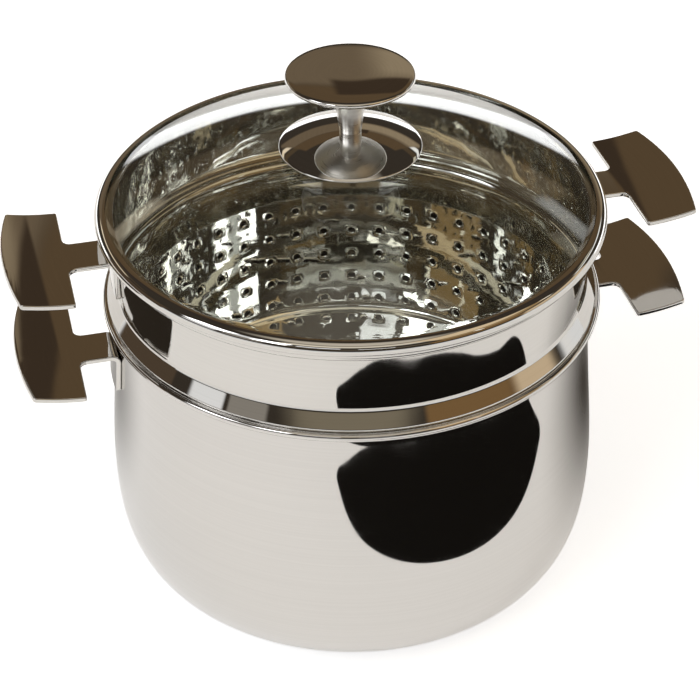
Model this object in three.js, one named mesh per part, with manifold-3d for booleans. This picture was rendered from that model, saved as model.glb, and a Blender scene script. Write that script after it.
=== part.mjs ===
// Stovetop rice cooker: a bellied pot, a perforated steaming insert that stands on the pot's rim
// and a domed glass lid with a steel knob.
// Millimetres, +Z up, origin under the middle of the base, handles along X.
import * as THREE from 'three';
import { mergeVertices } from 'three/addons/utils/BufferGeometryUtils.js';
import Module from 'manifold-3d';

const wasm = await Module();
wasm.setup();

// Stock and fits
const SHEET = 0.8; // drawn steel of the pot and the insert
const PLATE = 2.5; // stamped steel of the handles
const FIT = 0.1; // gap left between pieces that are fixed to each other
const REST = 0.1; // gap under a piece that only stands on another
const SIDES = 36; // facets round the pot, the base and the lid
const COLUMNS = 45; // columns of holes round the basket, one to a facet
const KNOB_SIDES = 24; // facets round the knob's disc and rosette
const SMALL_SIDES = 12; // facets round the stem, the seals and the screw

// Pot
const MOUTH_R = 120; // inner radius of the mouth, the 24 cm size
const RIM_WIDTH = 7; // width of the rolled rim
const RIM_R = MOUTH_R + RIM_WIDTH;
const RIM_Z = 161; // middle of the rolled rim above the stove
const RIM_HALF = 2; // half the height of the rolled rim
const BELLY_OUT = 8.7; // how far the belly stands out past the mouth
const BELLY_R = MOUTH_R + BELLY_OUT;
const BELLY_Z = 58; // height of the widest part
const BELLY_HOLD = 22; // the side stays upright for about this far above the belly
const SHOULDER_IN = 3; // the side draws in by about this
const SHOULDER_UP = 39; // at about this height above the belly
const TURN_WIDTH = 36.7; // width of the turn from the belly to the flat bottom
const FOOT_R = BELLY_R - TURN_WIDTH; // radius where the flat bottom starts
const FULLNESS = 0.78; // how square the turn into the bottom is

// Base sandwich
const CAP_SHEET = 0.7;
const CAP_IN = 4; // the cap ends this far inside the flat bottom's edge
const CAP_R = FOOT_R - CAP_IN;
const CAP_BEND = 2;
const CORE_THICK = 4.5;
const FOOT_Z = CAP_SHEET + CORE_THICK + 2 * FIT; // underside of the drawn pot

// Insert
const SEAT_Z = RIM_Z + RIM_HALF + REST; // underside of the bead, on the pot's rim
const BEAD_IN = 2.6; // the bead ends this far inside the rim's edge
const BEAD_R = RIM_R - BEAD_IN;
const BEAD_EDGE = 1.8; // height of the bead's edge
const BEAD_H = 8.9; // height of the bead's cone
const BEAD_TOP = SEAT_Z + BEAD_H;
const COLLAR_IN = 0.8; // the collar is this much narrower than the mouth
const COLLAR_R = MOUTH_R - COLLAR_IN; // outer radius of the collar
const COLLAR_H = 36.3; // from the bead to the top of the rolled rim
const COLLAR_TOP = BEAD_TOP + COLLAR_H;
const ROLL = 2.7; // radius of the rolled rim
const PLUG_PLAY = 1.1; // clearance of the plug in the mouth
const PLUG_R = MOUTH_R - PLUG_PLAY; // part that centres the insert in the mouth
const PLUG_H = 8.1;
const PLUG_LOW = SEAT_Z - PLUG_H;
const TAPER_IN = 3.4; // the taper draws in by this
const TAPER_H = 13;
const BASKET_R = PLUG_R - TAPER_IN; // outer radius of the perforated wall
const BASKET_TOP = PLUG_LOW - TAPER_H;
const BASKET_H = 78.2;
const FLOOR_Z = BASKET_TOP - BASKET_H; // underside of the perforated floor
const FLOOR_BEND = 5;
const HOLE_R = 1.9;
const HOLE_SIDES = 4; // the many small holes are kept coarse
const ROWS = 5;
const ROW_MARGIN = 8; // from the taper to the top row of holes
const ROW_PITCH = 15.5;
const RINGS = 5; // rings of holes in the floor, six more holes in each
const RING_MARGIN = 6.2; // from the floor's bend to the outer ring
const RING_PITCH = (BASKET_R - FLOOR_BEND - RING_MARGIN) / RINGS;

// Handles
const FINGER_GAP = 23.4; // from the collar to the inner edge of the paddle
const PADDLE_IN = COLLAR_R + FINGER_GAP;
const PADDLE_DEPTH = 25.8;
const PADDLE_OUT = PADDLE_IN + PADDLE_DEPTH; // outer corners, from the axis
const PADDLE_BOW = 5.2; // bow of the outer edge past its corners
const PADDLE_HALF = 41; // half its width at the inner edge
const PADDLE_TAPER = 0.2; // narrower by this at the outer corners
const PADDLE_LIFT_R = 125; // radius of the upward curve of the paddle
const NECK_HALF = 11.3;
const NECK_FILLET = 4;
const TAB_LENGTH = 21; // tab welded to the wall
const TAB_BEND = 3; // bend radius on the middle of the plate
const INSERT_DROP = 3.9; // from the insert's rolled rim down to the neck
const INSERT_NECK_Z = COLLAR_TOP - 2 * ROLL - INSERT_DROP;
const POT_DROP = 15.5; // from the pot's rolled rim down to the neck
const POT_NECK_Z = RIM_Z - RIM_HALF - POT_DROP;

// Lid
const LID_Z = COLLAR_TOP + REST; // underside of the band
const BAND_SHEET = 0.8;
const BAND_OUT = 7.7; // the band stands out this far past the collar
const BAND_R = COLLAR_R + BAND_OUT;
const BAND_H = 5.8;
const BAND_TURN = 0.9; // bevel of its lower outer corner
const BAND_ROUND = BAND_H - 1.5 * BAND_TURN; // rounding of its upper outer corner
const LIP_FLAT = 1; // flat top past the rounding, over the glass
const BAND_LIP = BAND_ROUND + LIP_FLAT;
const SKIRT_PLAY = 0.8; // clearance of the skirt inside the collar
const SKIRT_R = COLLAR_R - SHEET - SKIRT_PLAY;
const SKIRT_H = 5.4;
const GLASS = BAND_H - 2 * BAND_SHEET - 2 * FIT; // thickness, fills the band
const GLASS_PLAY = 0.3;
const GLASS_R = BAND_R - BAND_SHEET - GLASS_PLAY;
const GLASS_Z = LID_Z + BAND_SHEET + FIT; // underside of the glass at its edge
const GLASS_FLAT = BAND_LIP - BAND_SHEET; // flat edge, a little wider than the lip over it
const GLASS_RISE = 27; // height of the flat middle over the edge

// Knob
const SCREW_R = 2;
const SCREW_PLAY = 0.3;
const SCREW_HEAD_R = 4.4;
const SCREW_HEAD_H = 2.6;
const SCREW_REACH = 12; // length of the screw inside the stem
const GLASS_HOLE_R = 2 * SCREW_R;
const APEX = GLASS_Z + GLASS_RISE + GLASS; // top of the glass under the knob
const SEAL = 1.5;
const SEAL_R = 12;
const SPACER_H = 9.5; // height of the seal that holds the rosette clear of the glass
const ROSETTE_R = 35;
const ROSETTE_RISE = 8.4; // its middle stands this far over its edge
const ROSETTE_SHEET = 1;
const ROSETTE_TOP = APEX + SPACER_H + 2 * FIT + ROSETTE_SHEET;
const STEM_FOOT_R = 5.4;
const STEM_HEAD_R = 7.5;
const STEM_H = 27.6;
const STEM_Z = ROSETTE_TOP + FIT;
const DISC_R = 31.3;
const DISC_EDGE = 2.6; // thickness at the rounded edge
const DISC_CROWN = 0.9; // crown of the top face
const DISC_Z = STEM_Z + STEM_H + FIT; // underside of the disc
const DISC_TOP = DISC_Z + DISC_EDGE + DISC_CROWN;
const WASHER_R = 7.5;
const WASHER = 1;
const SEAL_Z = APEX - GLASS - FIT - SEAL; // underside of the seal below the glass
const WASHER_Z = SEAL_Z - FIT - WASHER;

// Merges a geometry's seams, drops empty triangles and turns its faces outward.
function closed(geometry) {
  geometry.deleteAttribute('normal');
  geometry.deleteAttribute('uv');
  const merged = mergeVertices(geometry, 1e-5);
  const at = merged.attributes.position;
  const corners = [new THREE.Vector3(), new THREE.Vector3(), new THREE.Vector3()];
  const faces = [];
  let volume = 0;
  for (let i = 0; i < merged.index.count; i += 3) {
    const face = [0, 1, 2].map((k) => merged.index.getX(i + k));
    if (new Set(face).size < 3) continue;
    face.forEach((v, k) => corners[k].fromBufferAttribute(at, v));
    volume += corners[0].dot(corners[1].clone().cross(corners[2]));
    faces.push(face);
  }
  const outward = volume > 0 ? faces : faces.map((f) => [f[0], f[2], f[1]]);
  merged.setIndex(outward.flat());
  return merged;
}

function toManifold(geometry) {
  const whole = closed(geometry);
  const vertProperties = new Float32Array(whole.attributes.position.array);
  const triVerts = new Uint32Array(whole.index.array);
  return new wasm.Manifold(new wasm.Mesh({ numProp: 3, vertProperties, triVerts }));
}

function toGeometry(manifold) {
  const mesh = manifold.getMesh();
  const geometry = new THREE.BufferGeometry();
  geometry.setAttribute('position', new THREE.BufferAttribute(mesh.vertProperties.slice(), 3));
  geometry.setIndex(Array.from(mesh.triVerts));
  return geometry;
}

// Turns a closed outline of radius and height round the Z axis.
function turned(points, sides) {
  const last = points[points.length - 1];
  const open = points[0].x > 0 || last.x > 0;
  const outline = open ? [...points, points[0].clone()] : points;
  return closed(new THREE.LatheGeometry(outline, sides).rotateX(Math.PI / 2));
}

// Points along a drawn line, with a number of steps on each curve and twice that on each arc.
function drawn(steps, draw) {
  const path = new THREE.Path();
  draw(path);
  return path.getPoints(steps);
}

// The line that runs beside a line, to the right of its direction, at a distance.
function beside(points, distance) {
  const normals = points.slice(1).map((p, i) => {
    const along = p.clone().sub(points[i]).normalize();
    return new THREE.Vector2(along.y, -along.x);
  });
  return points.map((p, i) => {
    const before = normals[Math.max(i - 1, 0)];
    const after = normals[Math.min(i, normals.length - 1)];
    const middle = before.clone().add(after).normalize();
    return p.clone().add(middle.multiplyScalar(distance / middle.dot(after)));
  });
}

// A line moved down.
function lowered(points, distance) {
  return points.map((q) => new THREE.Vector2(q.x, q.y - distance));
}

// A ring with square edges.
function ring(inner, outer, low, high) {
  return turned(drawn(1, (p) => {
    p.moveTo(inner, low);
    p.lineTo(outer, low);
    p.lineTo(outer, high);
    p.lineTo(inner, high);
  }), SMALL_SIDES);
}

// Outside of the drawn pot: the side widens to the belly, then turns like a bowl into a flat bottom.
const potSide = drawn(3, (p) => {
  p.moveTo(MOUTH_R + SHEET, RIM_Z - RIM_HALF);
  p.bezierCurveTo(
    BELLY_R - SHOULDER_IN, BELLY_Z + SHOULDER_UP,
    BELLY_R, BELLY_Z + BELLY_HOLD,
    BELLY_R, BELLY_Z,
  );
});
const potTurn = drawn(5, (p) => {
  p.moveTo(BELLY_R, BELLY_Z);
  p.bezierCurveTo(
    BELLY_R, BELLY_Z - FULLNESS * (BELLY_Z - FOOT_Z),
    FOOT_R + FULLNESS * (BELLY_R - FOOT_R), FOOT_Z,
    FOOT_R, FOOT_Z,
  );
  p.lineTo(0, FOOT_Z);
});

function potBody() {
  const wall = [...potSide, ...potTurn.slice(1)];
  const inside = beside(wall, SHEET).slice(1);
  const rim = drawn(1, (p) => {
    p.moveTo(MOUTH_R, RIM_Z);
    p.absarc(MOUTH_R + RIM_HALF, RIM_Z, RIM_HALF, Math.PI, Math.PI / 2, true);
    p.absarc(RIM_R - RIM_HALF, RIM_Z, RIM_HALF, Math.PI / 2, 0, true);
    p.absarc(RIM_R - RIM_HALF, RIM_Z, RIM_HALF, 0, -Math.PI / 2, true);
  });
  return turned([...inside.reverse(), ...rim, ...wall], SIDES);
}

// Steel cap that wraps the aluminium core under the pot.
function baseCap() {
  const outside = drawn(1, (p) => {
    p.moveTo(0, 0);
    p.lineTo(CAP_R - CAP_BEND, 0);
    p.absarc(CAP_R - CAP_BEND, CAP_BEND, CAP_BEND, -Math.PI / 2, 0, false);
    p.lineTo(CAP_R, FOOT_Z - FIT);
  });
  return turned([...outside, ...beside(outside, -CAP_SHEET).reverse()], SIDES);
}

function baseCore() {
  const low = CAP_SHEET + FIT;
  const edge = CAP_R - CAP_BEND;
  return turned(drawn(1, (p) => {
    p.moveTo(0, low);
    p.lineTo(edge, low);
    p.lineTo(edge, low + CORE_THICK);
    p.lineTo(0, low + CORE_THICK);
  }), SIDES);
}

// Outside of the insert's collar, between the rolled rim and the bead.
const collarSide = drawn(1, (p) => {
  p.moveTo(COLLAR_R, COLLAR_TOP - 2 * ROLL);
  p.lineTo(COLLAR_R, BEAD_TOP);
});

// Insert before it is pierced: rolled rim, collar, bead that stands on the pot, plug, taper, basket.
function insertShell() {
  const below = drawn(1, (p) => {
    p.moveTo(COLLAR_R, BEAD_TOP);
    p.lineTo(BEAD_R, SEAT_Z + BEAD_EDGE);
    p.lineTo(BEAD_R, SEAT_Z);
    p.lineTo(PLUG_R, SEAT_Z);
    p.lineTo(PLUG_R, PLUG_LOW);
    p.lineTo(BASKET_R, BASKET_TOP);
    p.lineTo(BASKET_R, FLOOR_Z + FLOOR_BEND);
    p.absarc(BASKET_R - FLOOR_BEND, FLOOR_Z + FLOOR_BEND, FLOOR_BEND, 0, -Math.PI / 2, true);
    p.lineTo(0, FLOOR_Z);
  });
  const wall = [...collarSide, ...below.slice(1)];
  const inside = beside(wall, SHEET).slice(1);
  const roll = drawn(3, (p) => {
    const middle = COLLAR_R - SHEET + ROLL;
    p.absarc(middle, COLLAR_TOP - ROLL, ROLL, Math.PI, -Math.PI / 2, true);
  });
  return turned([...inside.reverse(), ...roll, ...wall], COLUMNS);
}

// Punches for every hole: rows up the wall, one column to a facet, and rings across the floor.
function punches() {
  const pins = [];
  const pin = new THREE.CylinderGeometry(HOLE_R, HOLE_R, 6 * SHEET, HOLE_SIDES);
  for (let column = 0; column < COLUMNS; column += 1) {
    for (let row = 0; row < ROWS; row += 1) {
      const lying = pin.clone().rotateZ(Math.PI / 2);
      lying.translate(BASKET_R, 0, BASKET_TOP - ROW_MARGIN - row * ROW_PITCH);
      lying.rotateZ(((column + 0.5) * 2 * Math.PI) / COLUMNS);
      pins.push(toManifold(lying));
    }
  }
  for (let circle = 0; circle <= RINGS; circle += 1) {
    const holes = Math.max(1, 6 * circle);
    for (let hole = 0; hole < holes; hole += 1) {
      const upright = pin.clone().rotateX(Math.PI / 2);
      upright.translate(circle * RING_PITCH, 0, FLOOR_Z);
      upright.rotateZ((hole * 2 * Math.PI) / holes);
      pins.push(toManifold(upright));
    }
  }
  return wasm.Manifold.compose(pins);
}

function insertBody() {
  return toGeometry(toManifold(insertShell()).subtract(punches()));
}

// Plan of a handle on the +X side: neck, inner corners, paddle with a bowed outer edge.
function handlePlan() {
  const corner = PADDLE_HALF - PADDLE_TAPER;
  const bowR = (corner ** 2 + PADDLE_BOW ** 2) / (2 * PADDLE_BOW);
  const bowTurn = Math.asin(corner / bowR);
  const neckEnd = PADDLE_IN - NECK_FILLET;
  const filletY = NECK_HALF + NECK_FILLET;
  const plan = new THREE.Shape();
  plan.moveTo(COLLAR_R / 2, -NECK_HALF);
  plan.lineTo(neckEnd, -NECK_HALF);
  plan.absarc(neckEnd, -filletY, NECK_FILLET, Math.PI / 2, 0, true);
  plan.lineTo(PADDLE_IN, -PADDLE_HALF);
  plan.lineTo(PADDLE_OUT, -corner);
  plan.absarc(PADDLE_OUT + PADDLE_BOW - bowR, 0, bowR, -bowTurn, bowTurn, false);
  plan.lineTo(PADDLE_IN, PADDLE_HALF);
  plan.lineTo(PADDLE_IN, filletY);
  plan.absarc(neckEnd, filletY, NECK_FILLET, 0, -Math.PI / 2, true);
  plan.lineTo(COLLAR_R / 2, NECK_HALF);
  return plan;
}

// Radius of a wall at a height, from its points, which run downward.
function radiusAt(wall, height) {
  const low = wall.findIndex((p) => p.y < height);
  const [a, b] = [wall[low - 1], wall[low]];
  return a.x + ((b.x - a.x) * (a.y - height)) / (a.y - b.y);
}

// Side view of the bent plate: tab along the wall, neck, paddle that curves up.
function handleSide(neckZ, wall) {
  const off = FIT + PLATE / 2 - NECK_HALF ** 2 / (2 * COLLAR_R);
  const [low, bend, top] = [TAB_LENGTH, TAB_BEND, 0].map(
    (drop) => new THREE.Vector2(radiusAt(wall, neckZ - drop) + off, neckZ - drop),
  );
  const liftFrom = PADDLE_IN - NECK_FILLET;
  const sweep = Math.asin((PADDLE_OUT + PADDLE_BOW + PLATE - liftFrom) / PADDLE_LIFT_R);
  const middle = drawn(3, (p) => {
    p.moveTo(low.x, low.y);
    p.lineTo(bend.x, bend.y);
    p.quadraticCurveTo(top.x, top.y, top.x + TAB_BEND, top.y);
    p.absarc(liftFrom, neckZ + PADDLE_LIFT_R, PADDLE_LIFT_R, -Math.PI / 2, sweep - Math.PI / 2, false);
  });
  return new THREE.Shape([...beside(middle, PLATE / 2), ...beside(middle, -PLATE / 2).reverse()]);
}

// Stamped handle: the side view, drawn out to the full width, trimmed to the plan and to the wall.
function handle(neckZ, wall, sides) {
  const width = 3 * PADDLE_HALF;
  const reach = 2 * TAB_LENGTH;
  const strip = new THREE.ExtrudeGeometry(handleSide(neckZ, wall), { depth: width, bevelEnabled: false });
  strip.translate(0, 0, -width / 2).rotateX(Math.PI / 2);
  const block = new THREE.ExtrudeGeometry(
    handlePlan(), { depth: 2 * reach, bevelEnabled: false, curveSegments: 2 },
  );
  block.translate(0, 0, neckZ - reach);
  const outside = beside(wall, -FIT);
  const [top, bottom] = [outside[0], outside[outside.length - 1]].map((p) => new THREE.Vector2(0, p.y));
  const vessel = toManifold(turned([top, ...outside, bottom], sides));
  return toGeometry(toManifold(strip).intersect(toManifold(block)).subtract(vessel));
}

// Domed glass with a flat edge that the band holds and a flat middle with a hole for the knob's screw.
function lidGlass() {
  const inner = GLASS_R - GLASS_FLAT;
  const centre = (SEAL_R ** 2 + GLASS_RISE ** 2 - inner ** 2) / (2 * GLASS_RISE);
  const start = Math.atan2(-centre, inner);
  const end = Math.atan2(GLASS_RISE - centre, SEAL_R);
  const under = drawn(2, (p) => {
    p.moveTo(GLASS_R, GLASS_Z);
    p.lineTo(inner, GLASS_Z);
    p.absarc(0, GLASS_Z + centre, Math.hypot(inner, centre), start, end, false);
    p.lineTo(GLASS_HOLE_R, GLASS_Z + GLASS_RISE);
  });
  const top = lowered(under.slice(1), -GLASS).reverse();
  const edge = drawn(1, (p) => {
    const bandTop = LID_Z + BAND_H;
    const round = GLASS_R - BAND_R + BAND_ROUND;
    p.absarc(BAND_R - BAND_ROUND, bandTop - BAND_ROUND, round, Math.PI / 2, 0, true);
  });
  return turned([...under, ...top, ...edge], SIDES);
}

// Steel channel round the glass, with a skirt that drops inside the collar.
function lidBand() {
  const top = LID_Z + BAND_H;
  const inner = BAND_R - BAND_LIP;
  const crown = BAND_R - BAND_ROUND;
  const shoulder = top - BAND_ROUND;
  return turned(drawn(1, (p) => {
    p.moveTo(inner, top);
    p.lineTo(crown, top);
    p.absarc(crown, shoulder, BAND_ROUND, Math.PI / 2, 0, true);
    p.lineTo(BAND_R, LID_Z + BAND_TURN);
    p.lineTo(BAND_R - BAND_TURN, LID_Z);
    p.lineTo(SKIRT_R, LID_Z);
    p.lineTo(SKIRT_R, LID_Z - SKIRT_H);
    p.lineTo(SKIRT_R - BAND_SHEET, LID_Z - SKIRT_H);
    p.lineTo(SKIRT_R - BAND_SHEET, LID_Z + BAND_SHEET);
    p.lineTo(BAND_R - BAND_SHEET, LID_Z + BAND_SHEET);
    p.lineTo(BAND_R - BAND_SHEET, shoulder);
    p.absarc(crown, shoulder, BAND_ROUND - BAND_SHEET, 0, Math.PI / 2, false);
    p.lineTo(inner, top - BAND_SHEET);
  }), SIDES);
}

// Top of the domed rosette, from its bore out over the flat under the stem to its edge.
const rosetteTop = drawn(2, (p) => {
  const drop = (ROSETTE_R ** 2 - STEM_FOOT_R ** 2 + ROSETTE_RISE ** 2) / (2 * ROSETTE_RISE);
  const start = Math.atan2(drop, STEM_FOOT_R);
  const end = Math.atan2(drop - ROSETTE_RISE, ROSETTE_R);
  p.moveTo(SCREW_R + SCREW_PLAY, ROSETTE_TOP);
  p.lineTo(STEM_FOOT_R, ROSETTE_TOP);
  p.absarc(0, ROSETTE_TOP - drop, Math.hypot(drop, STEM_FOOT_R), start, end, true);
});

function knobRosette() {
  return turned([...lowered(rosetteTop, ROSETTE_SHEET).reverse(), ...rosetteTop], KNOB_SIDES);
}

// Thick seal between the glass and the rosette, with a top that follows the rosette.
function knobSealTop() {
  const under = lowered(rosetteTop, ROSETTE_SHEET + FIT);
  const past = under.findIndex((q) => q.x > SEAL_R);
  const [a, b] = [under[past - 1], under[past]];
  const edge = a.clone().lerp(b, (SEAL_R - a.x) / (b.x - a.x));
  const foot = [SEAL_R, under[0].x].map((x) => new THREE.Vector2(x, APEX + FIT));
  return turned([...under.slice(0, past), edge, ...foot], SMALL_SIDES);
}

// Stem that narrows to its foot, with a tapped blind hole for the screw.
function knobStem() {
  const bore = SCREW_R + SCREW_PLAY;
  return turned(drawn(3, (p) => {
    p.moveTo(0, STEM_Z + STEM_H);
    p.lineTo(STEM_HEAD_R, STEM_Z + STEM_H);
    p.quadraticCurveTo(STEM_HEAD_R, STEM_Z + STEM_H / 2, STEM_FOOT_R, STEM_Z);
    p.lineTo(bore, STEM_Z);
    p.lineTo(bore, STEM_Z + SCREW_REACH + SCREW_R);
    p.lineTo(0, STEM_Z + SCREW_REACH + 2 * SCREW_R);
  }), SMALL_SIDES);
}

// Flat grip disc with a rounded edge and a slightly crowned top.
function knobDisc() {
  const round = DISC_EDGE / 2;
  return turned(drawn(2, (p) => {
    p.moveTo(0, DISC_Z);
    p.lineTo(DISC_R - round, DISC_Z);
    p.absarc(DISC_R - round, DISC_Z + round, round, -Math.PI / 2, Math.PI / 2, false);
    p.quadraticCurveTo(DISC_R / 2, DISC_TOP, 0, DISC_TOP);
  }), KNOB_SIDES);
}

function knobScrew() {
  const head = WASHER_Z - FIT;
  return turned(drawn(3, (p) => {
    p.moveTo(0, head - SCREW_HEAD_H);
    p.lineTo(SCREW_R, head - SCREW_HEAD_H);
    p.quadraticCurveTo(SCREW_HEAD_R, head - SCREW_HEAD_H, SCREW_HEAD_R, head);
    p.lineTo(SCREW_R, head);
    p.lineTo(SCREW_R, STEM_Z + SCREW_REACH);
    p.lineTo(0, STEM_Z + SCREW_REACH);
  }), SMALL_SIDES);
}

const steel = { color: 0xc9c8c4, roughness: 0.12, metalness: 1 };
const plate = { color: 0xb9b7b2, roughness: 0.15, metalness: 1 };
const aluminium = { color: 0xb4b6b8, roughness: 0.45, metalness: 1 };
const baseSteel = { color: 0xa6a5a2, roughness: 0.35, metalness: 1 };
const glass = { color: 0xcfe0d8, roughness: 0.03, metalness: 0 };
const silicone = { color: 0xe4e2da, roughness: 0.7, metalness: 0 };
const screwSteel = { color: 0xa9a9a8, roughness: 0.3, metalness: 1 };

const group = new THREE.Group();

function add(name, geometry, look) {
  const mesh = new THREE.Mesh(geometry, new THREE.MeshStandardMaterial({ ...look, flatShading: true }));
  mesh.name = name;
  group.add(mesh);
}

// The same piece on the other side.
function mirrored(geometry) {
  return closed(geometry.clone().scale(-1, 1, 1));
}

add('pot_body', potBody(), steel);
add('base_core', baseCore(), aluminium);
add('base_cap', baseCap(), baseSteel);
const potHandle = handle(POT_NECK_Z, potSide, SIDES);
add('pot_handle_right', potHandle, plate);
add('pot_handle_left', mirrored(potHandle), plate);

add('insert_body', insertBody(), steel);
const insertHandle = handle(INSERT_NECK_Z, collarSide, COLUMNS);
add('insert_handle_right', insertHandle, plate);
add('insert_handle_left', mirrored(insertHandle), plate);

const sealBore = SCREW_R + SCREW_PLAY;
add('lid_glass', lidGlass(), glass);
add('lid_band', lidBand(), steel);
add('knob_seal_top', knobSealTop(), silicone);
add('knob_rosette', knobRosette(), steel);
add('knob_stem', knobStem(), steel);
add('knob_disc', knobDisc(), steel);
add('knob_seal_under', ring(sealBore, WASHER_R, SEAL_Z, SEAL_Z + SEAL), silicone);
add('knob_washer', ring(sealBore, WASHER_R, WASHER_Z, WASHER_Z + WASHER), screwSteel);
add('knob_screw', knobScrew(), screwSteel);

export default group;
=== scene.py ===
"""Looks of a stovetop rice cooker: polished pot, perforated insert, glass lid and stamped handles."""
import math

import bmesh
import bpy
from mathutils import Matrix, Vector
from mathutils.geometry import interpolate_bezier


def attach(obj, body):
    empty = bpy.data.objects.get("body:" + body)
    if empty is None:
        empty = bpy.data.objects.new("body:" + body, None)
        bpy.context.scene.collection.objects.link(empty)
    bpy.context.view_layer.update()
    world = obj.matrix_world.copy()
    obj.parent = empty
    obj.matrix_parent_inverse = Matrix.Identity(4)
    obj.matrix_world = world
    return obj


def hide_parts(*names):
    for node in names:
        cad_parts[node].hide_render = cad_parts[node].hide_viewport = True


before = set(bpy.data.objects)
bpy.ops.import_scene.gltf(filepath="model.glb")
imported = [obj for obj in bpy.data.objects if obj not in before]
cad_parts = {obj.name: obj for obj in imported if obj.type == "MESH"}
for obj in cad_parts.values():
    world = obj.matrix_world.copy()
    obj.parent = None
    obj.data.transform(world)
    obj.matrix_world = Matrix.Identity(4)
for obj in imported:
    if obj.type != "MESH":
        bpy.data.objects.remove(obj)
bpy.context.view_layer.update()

# Sizes of the cooker are in millimetres, with the frame's origin and axes
MM = 0.001
SHEET = 0.8
# Gap between pieces that lie on each other
CLEAR = 0.1
# Differences that count as none: on a turned line, on a bent plate and between heights
MERGE = 0.001
SLIVER = 0.005
NEAR = 0.01
# Degrees over which an edge stays sharp, on turned pieces and on bent sheet
CREASE = 38
SHEET_CREASE = 50
# Steps of a full turn, of the pot's curves, of arcs, of round edges and of corners
ROUND_STEPS = 180
CURVE_STEPS = 28
ARC_STEPS = 24
EDGE_STEPS = 8
CORNER_STEPS = 6

# Pot: rim, side down to the belly, turn into the foot
MOUTH_R = 120
RIM_R = 127
RIM_Z = 161
RIM_HALF = 2
RIM_ROUND = 1.95
RIM_RETURN = 4.5
BELLY_R = 128.69
BELLY_Z = 58
SIDE_LEAN = 3
SIDE_HIGH = 39
SIDE_LOW = 22
FOOT_R = 92
FOOT_Z = 5.4
FULLNESS = 0.78
# Rings of the flat bottom, as shares of its radius
BOTTOM_RINGS = (0.97, 0.6, 0.3, 0)

# Cap of the base
CAP_R = 88
CAP_SHEET = 0.7
PRESS_R = 53
PRESS_HALF = 1
PRESS_DEPTH = 0.3

# Insert: collar, bead on the pot's rim, plug in its mouth, taper and basket
COLLAR_R = 119.2
COLLAR_TOP = 208.3
ROLL = 2.7
ROLL_END = -110
CREASE_Z = 172
CREASE_ROUND = 1.5
SEAT_Z = 163.1
BEAD_R = 124.4
BEAD_EDGE = 0.4
BEAD_ROUND = 0.2
PLUG_R = 118.9
PLUG_LOW = 155
PLUG_ROUND = 5
SHOULDER = 4
TAPER_START = 0.6
TAPER_ROUND = 0.5
FOLD_STEPS = 5
BASKET_R = 115.5
BASKET_TOP = 142
FLOOR_Z = 63.8
FLOOR_BEND = 5
FLOOR_EDGE = 5.5
BEND_TOP = 68.9

# Holes in the basket's wall and floor
HOLE_R = 1.9
HOLE_ROLL = 0.9
HOLE_SIDES = 12
COLUMNS = 45
ROWS = 5
ROW_TOP = 134
ROW_PITCH = 15.5
RINGS = 5
RING_PITCH = 20.86
RING_HOLES = 6

# Handles: paddle, neck and tab on the wall
PLATE = 2.5
PLATE_ROUND = 0.55
PADDLE_IN = 142.6
PADDLE_OUT = 168
PADDLE_BOW = 5.2
BOW_STEPS = 12
PADDLE_HALF = 41
PADDLE_TAPER = 0.2
PADDLE_CORNER = 1.2
LIFT_R = 125
LIFT_STEP = 1.5
LIFT_STEPS = 26
NECK_HALF = 11.3
NECK_FILLET = 4
NECK_STEP = 2.5
NECK_STEPS = 4
TAB_LENGTH = 21
TAB_BEND = 3
TAB_CORNER = 2
BEND_STEPS = 8

# Where a handle sits: neck's height, wall's radius, wall's lean in radians, start of the paddle's lift
POT_SEAT = (143.2, 122.4, -0.088, 136)
INSERT_SEAT = (199, COLLAR_R + CLEAR, 0, 138.6)

# Lid: band and glass
LID_Z = 208.4
BAND_R = 126.9
BAND_H = 5.8
BAND_SHEET = 0.8
BAND_ROUND = 4.45
BAND_LIP = 5.45
BAND_STEPS = 10
SKIRT_R = 117.6
SKIRT_H = 5.4
GLASS = 4
GLASS_R = 125.8
GLASS_Z = 209.3
GLASS_FLAT = 4.65
GLASS_RISE = 27
GLASS_HOLE_R = 4
DOME_STEPS = 40

# Knob, from the glass up, and the screw that clamps it
KNOB_SIDES = 128
APEX = 240.3
SEAL_R = 12
SEAL = 1.5
SEAL_SLOPE = 1
ROSETTE_TOP = 251
ROSETTE_R = 35
ROSETTE_RISE = 8.4
ROSETTE_SHEET = 1
STEM_Z = 250.8
STEM_TOP = 278.7
STEM_FOOT_R = 5.4
STEM_HEAD_R = 7.5
STEM_LEAD = 9.2
STEM_SPREAD = 1.4
STEM_SIDES = 64
DISC_Z = 278.8
DISC_R = 31.3
DISC_EDGE = 2.6
DISC_STEPS = 12
DISC_CROWN = 0.9
# Where the crown's curve leads, as shares of the disc's radius
CROWN_OUT = 0.62
CROWN_IN = 0.3
CROWN_STEPS = 20
# A face of the disc that looks down more than this belongs to its underside
UNDERSIDE = -0.9
SCREW_R = 2
SCREW_HEAD_R = 4.4
SCREW_HEAD_H = 2.6
SCREW_DEPTH = 12
SCREW_SIDES = 36
BORE_R = SCREW_R + 0.3
BORE_DEPTH = 14
BORE_TIP = 2
WASHER_R = 7.5
WASHER = 1
WASHER_SIDES = 48


# Shapes

def round_corners(bm, verts, roundings, steps=CORNER_STEPS):
    """Bevels each corner of an outline by its own rounding."""
    for vert, rounding in zip(verts, roundings):
        if rounding:
            bmesh.ops.bevel(bm, geom=[vert], offset=rounding, segments=steps, profile=0.5,
                            affect="VERTICES", material=-1)


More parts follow.
